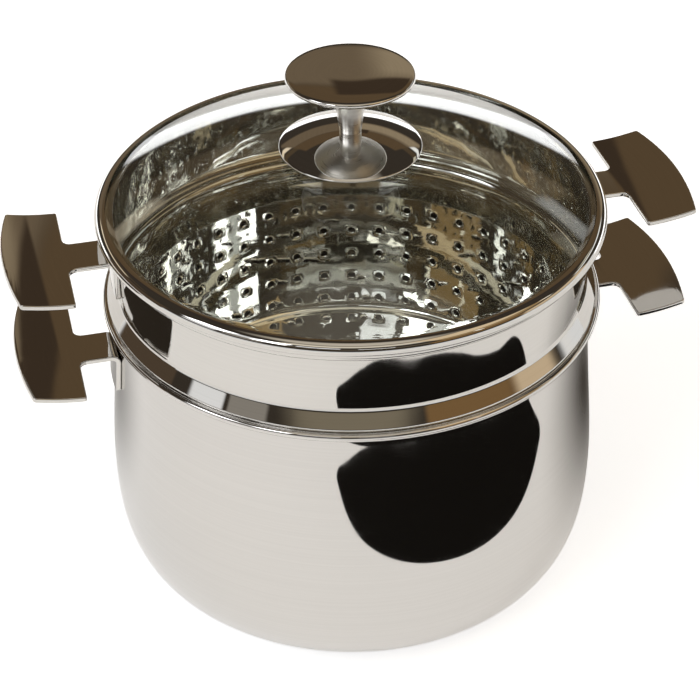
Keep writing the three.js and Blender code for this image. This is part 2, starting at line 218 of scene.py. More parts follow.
def rounded(corners, steps=CORNER_STEPS):
    """A line through corners of (radius, height, rounding), with each corner bevelled by its rounding."""
    bm = bmesh.new()
    verts = [bm.verts.new((r, 0, z)) for r, z, _ in corners]
    for pair in zip(verts, verts[1:]):
        bm.edges.new(pair)
    first = verts[0]
    round_corners(bm, verts, [rounding for _, _, rounding in corners], steps)
    line, edge, vert = [], None, first
    while vert:
        line.append((vert.co.x, vert.co.z))
        ahead = [e for e in vert.link_edges if e is not edge]
        edge = ahead[0] if ahead else None
        vert = edge.other_vert(vert) if edge else None
    bm.free()
    return line


def bent(start, lead_out, lead_in, end, steps):
    """A smooth curve of (radius, height) points between two ends, led by two control points."""
    points = [Vector(point) for point in (start, lead_out, lead_in, end)]
    return [(p.x, p.y) for p in interpolate_bezier(*points, steps)]


def arc(middle, radius, start, end, steps):
    """Points of (radius, height) on an arc, by its angles in degrees."""
    turns = [math.radians(start + (end - start) * i / steps) for i in range(steps + 1)]
    return [(middle[0] + radius * math.cos(t), middle[1] + radius * math.sin(t)) for t in turns]


def revolve(line, steps=ROUND_STEPS, closed=True):
    """Turns a line of (radius, height) points round the Z axis; a closed one joins its ends first."""
    bm = bmesh.new()
    verts = [bm.verts.new((r, 0, z)) for r, z in line]
    edges = [bm.edges.new(pair) for pair in zip(verts, verts[1:])]
    if closed and max(line[0][0], line[-1][0]) > MERGE:
        edges.append(bm.edges.new((verts[-1], verts[0])))
    bmesh.ops.spin(bm, geom=verts + edges, axis=(0, 0, 1), angle=2 * math.pi, steps=steps, use_merge=True)
    bmesh.ops.remove_doubles(bm, verts=bm.verts, dist=MERGE)
    bmesh.ops.recalc_face_normals(bm, faces=bm.faces)
    return bm


def everything(bm):
    """All of a mesh, as the operators take it."""
    return bm.verts[:] + bm.edges[:] + bm.faces[:]


def verts_in(geom):
    """The corners in what an operator gives back."""
    return [g for g in geom if isinstance(g, bmesh.types.BMVert)]


def is_level(face):
    """Whether a face lies level."""
    return abs(face.normal.z) > 0.99


def face_up(bm):
    """Turns an open bowl so that its inside is the front of its faces, by its largest level face."""
    bm.normal_update()
    largest = max(filter(is_level, bm.faces), key=lambda face: face.calc_area())
    if largest.normal.z < 0:
        bmesh.ops.reverse_faces(bm, faces=bm.faces)


def thicken(bm, thickness):
    """Gives an open sheet a wall behind its front."""
    bmesh.ops.solidify(bm, geom=bm.faces, thickness=thickness)


def placed(bm, name, material):
    """Puts a mesh into the scene as an object of one material."""
    mesh = bpy.data.meshes.new(name)
    bm.to_mesh(mesh)
    bm.free()
    mesh.materials.append(material)
    obj = bpy.data.objects.new(name, mesh)
    bpy.context.scene.collection.objects.link(obj)
    return obj


def piece(bm, name, body, cad, material, crease=CREASE):
    """Makes a mesh in millimetres the piece for a CAD node; edges over crease degrees stay sharp."""
    bmesh.ops.scale(bm, vec=(MM, MM, MM), verts=bm.verts)
    obj = placed(bm, name, material)
    obj.data.shade_smooth()
    obj.data.set_sharp_from_angle(angle=math.radians(crease))
    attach(obj, body)
    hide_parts(cad)
    return obj


def even_normals(obj):
    """Weighs a piece's shading by the size of its faces, so that its flats mirror without waves."""
    even = obj.modifiers.new("even_normals", "WEIGHTED_NORMAL")
    even.keep_sharp = True


# Materials

def node(tree, kind, settings=None, **inputs):
    """Adds a shader node; inputs are values or sockets, by name with _ for a space or by number as i0."""
    made = tree.nodes.new("ShaderNode" + kind)
    for key, value in (settings or {}).items():
        setattr(made, key, value)
    for key, value in inputs.items():
        numbered = key[0] == "i" and key[1:].isdigit()
        socket = made.inputs[int(key[1:]) if numbered else key.replace("_", " ")]
        if isinstance(value, bpy.types.NodeSocket):
            tree.links.new(value, socket)
        else:
            socket.default_value = value
    return made


def calc(tree, operation, *values):
    """Result of a maths node on values or sockets."""
    numbered = {f"i{number}": value for number, value in enumerate(values)}
    return node(tree, "Math", {"operation": operation}, **numbered).outputs[0]


def carried(tree, value, old, new, kind="LINEAR"):
    """A value carried from one range to another."""
    made = node(tree, "MapRange", {"interpolation_type": kind}, Value=value, From_Min=old[0],
                From_Max=old[1], To_Min=new[0], To_Max=new[1])
    return made.outputs[0]


def mixed(tree, share, one, two):
    """A colour between two, by a share."""
    return node(tree, "Mix", {"data_type": "RGBA"}, i0=share, i6=one, i7=two).outputs[2]


def ramp(tree, fac, stops):
    """A colour ramp from (place, colour) stops; the first two take over the two that a new ramp has."""
    made = node(tree, "ValToRGB", Fac=fac)
    for i, (place, colour) in enumerate(stops):
        stop = made.color_ramp.elements[i] if i < 2 else made.color_ramp.elements.new(place)
        stop.position = place
        stop.color = (*colour, 1)
    return made.outputs["Color"]


def two_tone(tree, fac, dark, light):
    """A colour from dark to light over the middle of a noise's range."""
    return ramp(tree, fac, [(0.3, dark), (0.7, light)])


def object_place(tree):
    """The place on a piece in its own axes, so that its pattern moves with it."""
    return node(tree, "TexCoord").outputs["Object"]


def from_axis(tree, split):
    """Distance from the Z axis of a place that is split in X, Y and Z."""
    flat = node(tree, "CombineXYZ", X=split.outputs["X"], Y=split.outputs["Y"], Z=0.0)
    return node(tree, "VectorMath", {"operation": "LENGTH"}, i0=flat.outputs[0]).outputs["Value"]


def group(name, inputs, outputs):
    """An empty shader node group with float inputs, given with their defaults, and float outputs."""
    tree = bpy.data.node_groups.new(name, "ShaderNodeTree")
    for label, default in inputs.items():
        socket = tree.interface.new_socket(label, in_out="INPUT", socket_type="NodeSocketFloat")
        socket.default_value = default
    for label in outputs:
        tree.interface.new_socket(label, in_out="OUTPUT", socket_type="NodeSocketFloat")
    return tree, tree.nodes.new("NodeGroupInput"), tree.nodes.new("NodeGroupOutput")


def polish_group():
    """Polished sheet: slow waves of the forming, fine rings of the polishing wheel and wiped smudges."""
    tree, given, out = group("polish", {"Wave": 0.5, "Rings": 0.5}, ["Height", "Smudge", "Shade"])
    place = object_place(tree)
    wave = node(tree, "TexNoise", Vector=place, Scale=14, Detail=1.5, Roughness=0.4)
    split = node(tree, "SeparateXYZ", Vector=place)
    turn = calc(tree, "ARCTAN2", split.outputs["Y"], split.outputs["X"])
    rolled = node(tree, "CombineXYZ", X=turn, Y=split.outputs["Z"], Z=from_axis(tree, split))
    stretched = node(tree, "Mapping", Vector=rolled.outputs[0], Scale=(0.6, 900, 900))
    rings = node(tree, "TexNoise", Vector=stretched.outputs[0], Scale=1, Detail=2)
    wiped = node(tree, "TexNoise", Vector=place, Scale=55, Detail=5, Roughness=0.6, Distortion=0.6)
    smudge = carried(tree, wiped.outputs["Fac"], (0.5, 0.75), (0, 1))
    high = calc(tree, "MULTIPLY", wave.outputs["Fac"], given.outputs["Wave"])
    fine = calc(tree, "MULTIPLY", rings.outputs["Fac"], given.outputs["Rings"])
    height = calc(tree, "MULTIPLY_ADD", fine, 0.002, high)
    tree.links.new(height, out.inputs["Height"])
    tree.links.new(smudge, out.inputs["Smudge"])
    tree.links.new(rings.outputs["Fac"], out.inputs["Shade"])
    return tree


def painted_sheen_group():
    """Mask of the painted sheen on the insert's inner face: nearer the axis than the middle of its sheet
    at that height.
    """
    tree, _, out = group("painted_sheen", {}, ["Inside"])
    split = node(tree, "SeparateXYZ", Vector=object_place(tree))
    collar = COLLAR_R - SHEET / 2
    plug = PLUG_R - SHEET / 3
    bead = BEAD_R - SHEET / 2
    middle = [(BASKET_TOP, BASKET_R - SHEET / 2), (COLLAR_TOP, collar), (PLUG_LOW, plug),
              (SEAT_Z + SHEET * 0.4, plug), (SEAT_Z + SHEET * 0.6, bead), (SEAT_Z + SHEET * 1.5, bead),
              (CREASE_Z, collar)]
    span = COLLAR_TOP - BASKET_TOP
    level = carried(tree, split.outputs["Z"], (BASKET_TOP * MM, COLLAR_TOP * MM), (0, 1))
    limit = ramp(tree, level, [((z - BASKET_TOP) / span, [r * MM] * 3) for z, r in middle])
    inside = calc(tree, "LESS_THAN", from_axis(tree, split), limit)
    tree.links.new(inside, out.inputs["Inside"])
    return tree


def finish(name):
    """A new material: itself, its tree and its shader."""
    made = bpy.data.materials.new(name)
    made.use_nodes = True
    return made, made.node_tree, made.node_tree.nodes["Principled BSDF"]


def dress(tree, shader, tone, gloss, height, strength, depth, metal=1):
    """Feeds a shader its colour, its roughness and the relief of its face."""
    bump = node(tree, "Bump", Height=height, Strength=strength, Distance=depth)
    tree.links.new(tone, shader.inputs["Base Color"])
    tree.links.new(gloss, shader.inputs["Roughness"])
    tree.links.new(bump.outputs[0], shader.inputs["Normal"])
    shader.inputs["Metallic"].default_value = metal


def polished(name, dark, light, wave, rings, rough, painted_sheen=None):
    """Mirror steel: the polish group drives its colour, roughness and the waves in its reflections."""
    made, tree, shader = finish(name)
    marks = node(tree, "Group", {"node_tree": POLISH}, Wave=wave, Rings=rings)
    tone = two_tone(tree, marks.outputs["Shade"], dark, light)
    gloss = carried(tree, marks.outputs["Smudge"], (0, 1), rough)
    # Painted sheen: the inner face of the same steel gets lighter colours than the outer face.
    if painted_sheen:
        painted_sheen_mask = node(tree, "Group", {"node_tree": painted_sheen_group()})
        painted_sheen_tone = two_tone(tree, marks.outputs["Shade"], *painted_sheen)
        tone = mixed(tree, painted_sheen_mask.outputs["Inside"], tone, painted_sheen_tone)
    dress(tree, shader, tone, gloss, marks.outputs["Height"], strength=1, depth=0.001)
    return made


def satin(name, dark, light, rough):
    """Brushed steel: the polish group's rings show as a fine grain in its colour and roughness."""
    made, tree, shader = finish(name)
    marks = node(tree, "Group", {"node_tree": POLISH}, Wave=0, Rings=0.05)
    tone = two_tone(tree, marks.outputs["Shade"], dark, light)
    gloss = carried(tree, marks.outputs["Shade"], (0, 1), rough)
    dress(tree, shader, tone, gloss, marks.outputs["Height"], strength=1, depth=0.001)
    return made


def grained(name, dark, light, metal, rough, scale, depth):
    """A plain finish with a fine grain, for pieces that aren't polished."""
    made, tree, shader = finish(name)
    grain = node(tree, "TexNoise", Vector=object_place(tree), Scale=scale, Detail=4).outputs["Fac"]
    tone = ramp(tree, grain, [(0.35, dark), (0.65, light)])
    gloss = carried(tree, grain, (0, 1), rough)
    dress(tree, shader, tone, gloss, grain, strength=0.5, depth=depth, metal=metal)
    return made


def turned_steel(name, dark, light, rough):
    """Steel of the base, with the rings that a lathe leaves."""
    made, tree, shader = finish(name)
    rings = node(tree, "TexWave", {"wave_type": "RINGS", "rings_direction": "Z"},
                 Vector=object_place(tree), Scale=160, Distortion=0.4, Detail=3).outputs["Fac"]
    tone = ramp(tree, rings, [(0, dark), (1, light)])
    gloss = carried(tree, rings, (0, 1), rough)
    dress(tree, shader, tone, gloss, rings, strength=0.3, depth=0.0002)
    return made


def clear_glass(name, dark, light):
    """Tempered glass with a faint green body and a few wiped marks."""
    made, tree, shader = finish(name)
    place = object_place(tree)
    wiped = node(tree, "TexNoise", Vector=place, Scale=30, Detail=4, Distortion=0.5).outputs["Fac"]
    tone = two_tone(tree, wiped, dark, light)
    gloss = carried(tree, wiped, (0.5, 0.9), (0, 0.02))
    tree.links.new(tone, shader.inputs["Base Color"])
    tree.links.new(gloss, shader.inputs["Roughness"])
    shader.inputs["IOR"].default_value = 1.5
    shader.inputs["Transmission Weight"].default_value = 1
    return made


POLISH = polish_group()
POT_STEEL = polished("pot_steel", (0.60, 0.59, 0.575), (0.62, 0.61, 0.595),
                     wave=0.04, rings=0.015, rough=(0.03, 0.06))
# The insert's second pair of colours is painted sheen: its inner face is painted lighter than its outer
# face.
INSERT_STEEL = polished("insert_steel", (0.61, 0.60, 0.58), (0.63, 0.62, 0.60),
                        wave=0.04, rings=0.015, rough=(0.03, 0.06),
                        painted_sheen=[(0.76, 0.75, 0.72), (0.80, 0.79, 0.76)])
HANDLE_STEEL = polished("handle_steel", (0.60, 0.59, 0.57), (0.62, 0.61, 0.59),
                        wave=0.06, rings=0.015, rough=(0.03, 0.06))
KNOB_STEEL = polished("knob_steel", (0.62, 0.61, 0.59), (0.65, 0.64, 0.62),
                      wave=0.03, rings=0.01, rough=(0.02, 0.04))
# Lighter than the polished steel: painted sheen on the stem and the grip's underside, over their real
# satin finish.
STEM_STEEL_PAINTED_SHEEN = satin("stem_steel_painted_sheen", (0.84, 0.83, 0.80), (0.90, 0.89, 0.86), rough=(0.24, 0.34))
BASE_STEEL = turned_steel("base_steel", (0.42, 0.415, 0.40), (0.62, 0.615, 0.60), rough=(0.24, 0.38))
CORE_METAL = grained("core_aluminium", (0.55, 0.555, 0.56), (0.66, 0.665, 0.67),
                     metal=1, rough=(0.35, 0.5), scale=400, depth=0.0002)
SILICONE = grained("seal_silicone", (0.70, 0.69, 0.66), (0.80, 0.79, 0.76),
                   metal=0, rough=(0.5, 0.7), scale=900, depth=0.0001)
SCREW_STEEL = grained("screw_steel", (0.42, 0.42, 0.42), (0.56, 0.56, 0.555),
                      metal=1, rough=(0.22, 0.36), scale=700, depth=0.0001)
LID_GLASS = clear_glass("lid_glass_clear", (0.93, 0.965, 0.945), (0.96, 0.985, 0.97))


# Pot

def pot():
    """Drawn pot with a rolled rim: the line is its inside, and its wall goes on outside it."""
    under = RIM_Z - RIM_HALF
    over = RIM_Z + RIM_HALF
    wide = BELLY_R - SHEET
    low = FOOT_Z + SHEET
    lip = rounded([(RIM_R - RIM_RETURN, under, 0), (RIM_R, under, RIM_ROUND), (RIM_R, over, RIM_ROUND),
                   (MOUTH_R, over, RIM_HALF), (MOUTH_R, under, 0)])
    side = bent((MOUTH_R, under), (wide - SIDE_LEAN, BELLY_Z + SIDE_HIGH), (wide, BELLY_Z + SIDE_LOW),
                (wide, BELLY_Z), CURVE_STEPS)
    turn = bent((wide, BELLY_Z), (wide, BELLY_Z - FULLNESS * (BELLY_Z - low)),
                (FOOT_R + FULLNESS * (wide - FOOT_R), low), (FOOT_R, low), CURVE_STEPS)
    bottom = [(FOOT_R * share, low) for share in BOTTOM_RINGS]
    bm = revolve(lip[:-1] + side + turn[1:] + bottom, closed=False)
    face_up(bm)
    thicken(bm, SHEET)
    piece(bm, "pot_shell", "pot", "pot_body", POT_STEEL)


def base():
    """Cap under the pot, with rounded edges and a shallow round pressed into its face."""
    inner = CAP_R - CAP_SHEET
    top = FOOT_Z - CLEAR
    line = rounded([(0, PRESS_DEPTH, 0), (PRESS_R - PRESS_HALF, PRESS_DEPTH, 1),
                    (PRESS_R + PRESS_HALF, 0, 1), (CAP_R, 0, 2), (CAP_R, top, 0.3), (inner, top, 0.3),
                    (inner, CAP_SHEET, 1.3), (0, CAP_SHEET, 0)])
    piece(revolve(line), "base_plate", "pot", "base_cap", BASE_STEEL)


# Insert

def hole_edge(bm, spot):
    """Rings of a punched hole, rolled from the sheet's face into it; gives the outer ring's edges."""
    rings = []
    for turn in (0, math.pi / 4, math.pi / 2):
        radius = HOLE_R + HOLE_ROLL * (1 - math.sin(turn))
        sunk = Matrix.Translation((0, 0, -HOLE_ROLL * (1 - math.cos(turn))))
        place = spot @ sunk @ Matrix.Rotation(math.pi / 4, 4, "Z")
        made = bmesh.ops.create_circle(bm, segments=HOLE_SIDES, radius=radius, matrix=place)["verts"]
        rings.append(list({e for v in made for e in v.link_edges}))
    for outer, inner in zip(rings, rings[1:]):
        bmesh.ops.bridge_loops(bm, edges=outer + inner)
    return rings[0]


def is_spoke(edge):
    """Whether an edge of a flat cell runs from its hole to its border, so between two level faces."""
    return len(edge.link_faces) == 2 and all(map(is_level, edge.link_faces))


def perforated_wall(radius):
    """Basket wall: a flat cell round a hole, stacked in rows, rolled to the wall and turned to columns."""
    width = 2 * math.pi * radius / COLUMNS
    bm = bmesh.new()
    edge = hole_edge(bm, Matrix.Identity(4))
    made = bmesh.ops.extrude_edge_only(bm, edges=edge)["geom"]
    for vert in verts_in(made):
        grow = 0.5 / max(abs(vert.co.x), abs(vert.co.y))
        vert.co = (vert.co.x * grow * width, vert.co.y * grow * ROW_PITCH, 0)
    cell = everything(bm)
    for row in range(1, ROWS):
        copy = bmesh.ops.duplicate(bm, geom=cell)["geom"]
        bmesh.ops.translate(bm, vec=(0, -row * ROW_PITCH, 0), verts=verts_in(copy))
    for vert in bm.verts:
        vert.co.y = max(vert.co.y, BEND_TOP - ROW_TOP)
    bm.normal_update()
    spokes = [e for e in bm.edges if is_spoke(e)]
    bmesh.ops.subdivide_edges(bm, edges=spokes, cuts=2, use_grid_fill=True)
    for vert in bm.verts:
        turn = vert.co.x / radius + math.pi / COLUMNS
        reach = radius - vert.co.z
        vert.co = (reach * math.cos(turn), reach * math.sin(turn), ROW_TOP + vert.co.y)
    bmesh.ops.spin(bm, geom=everything(bm), axis=(0, 0, 1), use_duplicate=True,
                   angle=2 * math.pi * (COLUMNS - 1) / COLUMNS, steps=COLUMNS - 1)
    bmesh.ops.remove_doubles(bm, verts=bm.verts, dist=NEAR)
    return bm


def border_at(bm, height):
    """Open edges of a shell at a height."""
    return [e for e in bm.edges if e.is_boundary and all(abs(v.co.z - height) < NEAR for v in e.verts)]


def draw_on(bm, edges, line):
    """Carries a round border on through a line of (radius, height) points; gives the last border."""
    for radius, height in line:
        made = bmesh.ops.extrude_edge_only(bm, edges=edges)["geom"]
        verts = verts_in(made)
        edges = [g for g in made if isinstance(g, bmesh.types.BMEdge)]
        now = verts[0].co
        grow = radius / math.hypot(now.x, now.y)
        bmesh.ops.translate(bm, vec=(0, 0, height - now.z), verts=verts)
        bmesh.ops.scale(bm, vec=(grow, grow, 1), verts=verts)
    return edges


def floor_holes(bm, height):
    """Holes of the basket's floor: one, then rings of six, twelve and so on; gives their outer edges."""
    edges = []
    for ring in range(RINGS + 1):
        reach = ring * RING_PITCH
        holes = max(1, RING_HOLES * ring)
        for hole in range(holes):
            turn = 2 * math.pi * hole / holes
            spot = Matrix.Translation((reach * math.cos(turn), reach * math.sin(turn), height))
            edges += hole_edge(bm, spot)
    return edges


def insert():
    """Insert: perforated basket, taper, plug, open bead, collar and rolled rim from one sheet."""
    basket = BASKET_R - SHEET
    plug = PLUG_R - SHEET
    bead = BEAD_R - SHEET
    collar = COLLAR_R - SHEET
    seat = SEAT_Z + SHEET
    bottom = FLOOR_Z + SHEET
    wall_top = ROW_TOP + ROW_PITCH / 2
    up = rounded([(basket, wall_top, 0), (basket, BASKET_TOP + TAPER_START, TAPER_ROUND),
                  (plug, PLUG_LOW, PLUG_ROUND), (plug, seat, SHOULDER), (bead, seat, BEAD_ROUND),
                  (bead, seat + BEAD_EDGE, BEAD_ROUND), (collar, CREASE_Z, CREASE_ROUND),
                  (collar, COLLAR_TOP - ROLL, 0)], FOLD_STEPS)
    roll = arc((collar + ROLL, COLLAR_TOP - ROLL), ROLL, 180, ROLL_END, ARC_STEPS)
    down = rounded([(basket, BEND_TOP, 0), (basket, bottom, FLOOR_BEND - SHEET),
                    (basket - FLOOR_EDGE, bottom, 0)], EDGE_STEPS)
    bm = perforated_wall(basket)
    draw_on(bm, border_at(bm, wall_top), up[1:] + roll[1:])
    edges = draw_on(bm, border_at(bm, BEND_TOP), down[1:])
    edges += floor_holes(bm, bottom)
    bmesh.ops.triangle_fill(bm, edges=edges, use_beauty=True, normal=(0, 0, 1))
    bmesh.ops.recalc_face_normals(bm, faces=bm.faces)
    face_up(bm)
    thicken(bm, SHEET)
    made = piece(bm, "insert_shell", "insert", "insert_body", INSERT_STEEL, SHEET_CREASE)
    even_normals(made)


# Handles

def cut_at(bm, axis, places):
    """Cuts a mesh at places along an axis, so that it can bend there."""
    for place in places:
        bmesh.ops.bisect_plane(bm, geom=everything(bm), plane_co=axis * place, plane_no=axis)


def blank(tab_end):
    """Flat plate of a handle along the X axis, with rounded corners and edges."""
    corner = PADDLE_HALF - PADDLE_TAPER
    bow = [(PADDLE_OUT + PADDLE_BOW * (1 - (i / BOW_STEPS) ** 2), corner * i / BOW_STEPS, 0)
           for i in range(1 - BOW_STEPS, BOW_STEPS)]
    half = [(tab_end, NECK_HALF, TAB_CORNER), (PADDLE_IN, NECK_HALF, NECK_FILLET),
            (PADDLE_IN, PADDLE_HALF, PADDLE_CORNER), (PADDLE_OUT, corner, PADDLE_CORNER)]
    corners = [(x, -y, r) for x, y, r in half] + bow + half[::-1]
    bm = bmesh.new()
    verts = [bm.verts.new((x, y, -PLATE / 2)) for x, y, _ in corners]
    bm.faces.new(verts)
    round_corners(bm, verts, [rounding for _, _, rounding in corners])
    grown = bmesh.ops.extrude_face_region(bm, geom=bm.faces[:])["geom"]
    bmesh.ops.translate(bm, vec=(0, 0, PLATE), verts=verts_in(grown))
    bmesh.ops.recalc_face_normals(bm, faces=bm.faces)
    rims = [e for e in bm.edges if abs(e.verts[0].co.z - e.verts[1].co.z) < NEAR]
    bmesh.ops.bevel(bm, geom=rims, offset=PLATE_ROUND, segments=3, profile=0.5,
                    affect="EDGES", material=-1)
    return bm


def handle(name, body, cad, seat, side):
    """Stamped handle: a flat blank, bent down along the wall at its tab and curved up at its paddle."""
    neck_z, wall, lean, lift_from = seat
    bend = math.pi / 2 - lean
    bend_length = TAB_BEND * bend
    start = wall + PLATE / 2 + TAB_BEND
    along = Vector((1, 0, 0))
    across = Vector((0, 1, 0))
    bm = blank(start - bend_length - TAB_LENGTH + TAB_BEND)
    cut_at(bm, along, [start - bend_length * i / BEND_STEPS for i in range(BEND_STEPS + 1)])
    cut_at(bm, along, [lift_from + LIFT_STEP * i for i in range(LIFT_STEPS)])
    cut_at(bm, across, [NECK_STEP * i for i in range(-NECK_STEPS, NECK_STEPS + 1)])
    for vert in bm.verts:
        x, y, through = vert.co
        if x > lift_from:
            tilt = math.asin((x - lift_from) / LIFT_R)
            lift = LIFT_R * (1 - math.cos(tilt))
            vert.co = (x - through * math.sin(tilt), y, neck_z + lift + through * math.cos(tilt))
        elif x < start:
            turn = min((start - x) / TAB_BEND, bend)
            down = max(start - x - bend_length, 0)
            hug = (wall - math.sqrt(wall ** 2 - y ** 2)) * turn / bend
            reach = TAB_BEND + through
            vert.co = (start - reach * math.sin(turn) - down * math.cos(bend) - hug, y,
                       neck_z - TAB_BEND + reach * math.cos(turn) - down * math.sin(bend))
        else:
            vert.co.z = neck_z + through
    if side < 0:
        bmesh.ops.rotate(bm, matrix=Matrix.Rotation(math.pi, 3, "Z"), verts=bm.verts)
    bmesh.ops.dissolve_degenerate(bm, dist=SLIVER, edges=bm.edges)
    bmesh.ops.recalc_face_normals(bm, faces=bm.faces)
    made = piece(bm, name, body, cad, HANDLE_STEEL, SHEET_CREASE)
    even_normals(made)


# Lid

def glass():
    """Domed glass with a flat edge under the band and a flat middle with a hole."""
    inner = GLASS_R - GLASS_FLAT
    drop = (SEAL_R ** 2 + GLASS_RISE ** 2 - inner ** 2) / (2 * GLASS_RISE)
    dome = math.hypot(inner, drop)
    start = math.degrees(math.atan2(-drop, inner))
    end = math.degrees(math.atan2(GLASS_RISE - drop, SEAL_R))
    under = arc((0, GLASS_Z + drop), dome, start, end, DOME_STEPS)
    under.append((GLASS_HOLE_R, GLASS_Z + GLASS_RISE))
    over = [(r, z + GLASS) for r, z in reversed(under)]
    turn = (BAND_R - BAND_ROUND, LID_Z + BAND_H - BAND_ROUND)
    edge = arc(turn, GLASS_R - BAND_R + BAND_ROUND, 90, 0, EDGE_STEPS)
    bm = revolve([(GLASS_R, GLASS_Z)] + under + over + edge)
    piece(bm, "glass_dome", "lid", "lid_glass", LID_GLASS)


def band():
    """Steel channel round the glass, with a skirt that drops into the collar."""
    top = LID_Z + BAND_H
    lip = BAND_R - BAND_LIP
    skirt = SKIRT_R - BAND_SHEET
    channel = BAND_R - BAND_SHEET
    line = rounded([(lip, top, 0.25), (BAND_R, top, BAND_ROUND), (BAND_R, LID_Z, 0.9),
                    (SKIRT_R, LID_Z, 0.5), (SKIRT_R, LID_Z - SKIRT_H, 0.3), (skirt, LID_Z - SKIRT_H, 0.3),
                    (skirt, LID_Z + BAND_SHEET, 0.2), (channel, LID_Z + BAND_SHEET, 0.3),
                    (channel, top - BAND_SHEET, BAND_ROUND - BAND_SHEET),
                    (lip, top - BAND_SHEET, 0.2)], BAND_STEPS)
    piece(revolve(line), "glass_band", "lid", "lid_band", KNOB_STEEL)


def upper_seal():
    """Silicone between the glass and the rosette, sloped like the rosette."""
    low = APEX + CLEAR
    high = ROSETTE_TOP - ROSETTE_SHEET - CLEAR
    line = rounded([(BORE_R, low, 0.2), (SEAL_R, low, 0.5), (SEAL_R, high - SEAL_SLOPE, 0.5),
                    (BORE_R, high, 0.2)])
    piece(revolve(line, STEM_SIDES), "upper_seal", "lid", "knob_seal_top", SILICONE)


def rosette():
    """Shallow domed plate under the knob, with a round rim."""
    curve = (ROSETTE_R ** 2 + ROSETTE_RISE ** 2) / (2 * ROSETTE_RISE)
    middle = (0, ROSETTE_TOP - curve)
    half = ROSETTE_SHEET / 2
    edge = 90 - math.degrees(math.asin((ROSETTE_R - half) / (curve - half)))
    start = 90 - math.degrees(math.asin(BORE_R / curve))
    over = arc(middle, curve, start, edge, ARC_STEPS)
    under = arc(middle, curve - ROSETTE_SHEET, start, edge, ARC_STEPS)
    turn = ((over[-1][0] + under[-1][0]) / 2, (over[-1][1] + under[-1][1]) / 2)
    rim = arc(turn, half, edge, edge - 180, EDGE_STEPS)
    bm = revolve(over[:-1] + rim + under[-2::-1], KNOB_SIDES)
    piece(bm, "knob_rose", "lid", "knob_rosette", KNOB_STEEL)


def stem():
    """Stem that narrows to its foot, with a bore for the screw."""
    shaft = bent((STEM_HEAD_R, STEM_TOP), (STEM_HEAD_R, STEM_TOP - STEM_LEAD),
                 (STEM_FOOT_R + STEM_SPREAD, STEM_Z + STEM_LEAD), (STEM_FOOT_R, STEM_Z), ARC_STEPS)
    bore = [(BORE_R, STEM_Z), (BORE_R, STEM_Z + BORE_DEPTH), (0, STEM_Z + BORE_DEPTH + BORE_TIP)]
    bm = revolve([(0, STEM_TOP)] + shaft + bore, STEM_SIDES)
    piece(bm, "knob_post", "lid", "knob_stem", STEM_STEEL_PAINTED_SHEEN)


def grip():
    """Grip disc with a round edge, a slight crown and a satin underside, painted lighter than its top as
    painted sheen.
    """
    half = DISC_EDGE / 2
    top = DISC_Z + DISC_EDGE + DISC_CROWN
    rim = arc((DISC_R - half, DISC_Z + half), half, -90, 80, DISC_STEPS)
    crown = bent(rim[-1], (DISC_R * CROWN_OUT, top), (DISC_R * CROWN_IN, top), (0, top), CROWN_STEPS)
    bm = revolve([(0, DISC_Z)] + rim + crown[1:], KNOB_SIDES)
    made = piece(bm, "knob_grip", "lid", "knob_disc", KNOB_STEEL)
    # The underside takes the satin steel, which is painted lighter as painted sheen.
    made.data.materials.append(STEM_STEEL_PAINTED_SHEEN)
    for face in made.data.polygons:
        face.material_index = 1 if face.normal.z < UNDERSIDE else 0


def flat_ring(name, cad, low, thickness, inner_round, outer_round, material):
    """Flat ring round the screw, with rounded edges."""
    high = low + thickness
    line = rounded([(BORE_R, low, inner_round), (WASHER_R, low, outer_round),
                    (WASHER_R, high, outer_round), (BORE_R, high, inner_round)])
    piece(revolve(line, WASHER_SIDES), name, "lid", cad, material)


def screw(under):
    """Pan-head screw, up through the glass into the stem."""
    low = under - SCREW_HEAD_H
    tip = STEM_Z + SCREW_DEPTH
    line = rounded([(SCREW_R, low, 0), (SCREW_HEAD_R, low, 1.4), (SCREW_HEAD_R, under, 0.2),
                    (SCREW_R, under, 0.1), (SCREW_R, tip, 0.4), (0, tip, 0)])
    bm = revolve([(0, low)] + line, SCREW_SIDES)
    cap = [f for f in bm.faces if f.calc_center_median().z < low + NEAR]
    bmesh.ops.dissolve_faces(bm, faces=cap)
    piece(bm, "lid_screw", "lid", "knob_screw", SCREW_STEEL)


def clamp():
    """What holds the knob from inside the lid: seal, washer and screw."""
    seal_low = APEX - GLASS - CLEAR - SEAL
    washer_low = seal_low - CLEAR - WASHER
    flat_ring("lower_seal", "knob_seal_under", seal_low, SEAL, 0.2, 0.4, SILICONE)
    flat_ring("screw_washer", "knob_washer", washer_low, WASHER, 0.15, 0.25, SCREW_STEEL)
    screw(washer_low - CLEAR)


pot()
base()
insert()
glass()
band()
upper_seal()
rosette()
stem()
grip()
clamp()
for side, where in ((1, "right"), (-1, "left")):
    handle(f"pot_grip_{where}", "pot", f"pot_handle_{where}", POT_SEAT, side)
    handle(f"insert_grip_{where}", "insert", f"insert_handle_{where}", INSERT_SEAT, side)
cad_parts["base_core"].data.materials.clear()
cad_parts["base_core"].data.materials.append(CORE_METAL)


# Camera, in metres and radians: its place from the middle of the pot's rim, then its aim and its lens
VIEW_TURN = math.radians(13.85)
VIEW_RISE = 0.60711
VIEW_REACH = 0.9216
VIEW_PITCH = 0.6450
VIEW_YAW = 0.001
VIEW_ROLL = -0.00535
SENSOR = 36
LENS_WIDTHS = 1792.8 / 700

# Studio, in metres: floor, with its glow straight into the camera
FLOOR_R = 4
FLOOR_SIDES = 64
FLOOR_TONE = (0.9, 0.9, 0.9)
FLOOR_GLOW = 0.42
FLOOR_SEEN = (1.4, 1.42, 1.45, 1)
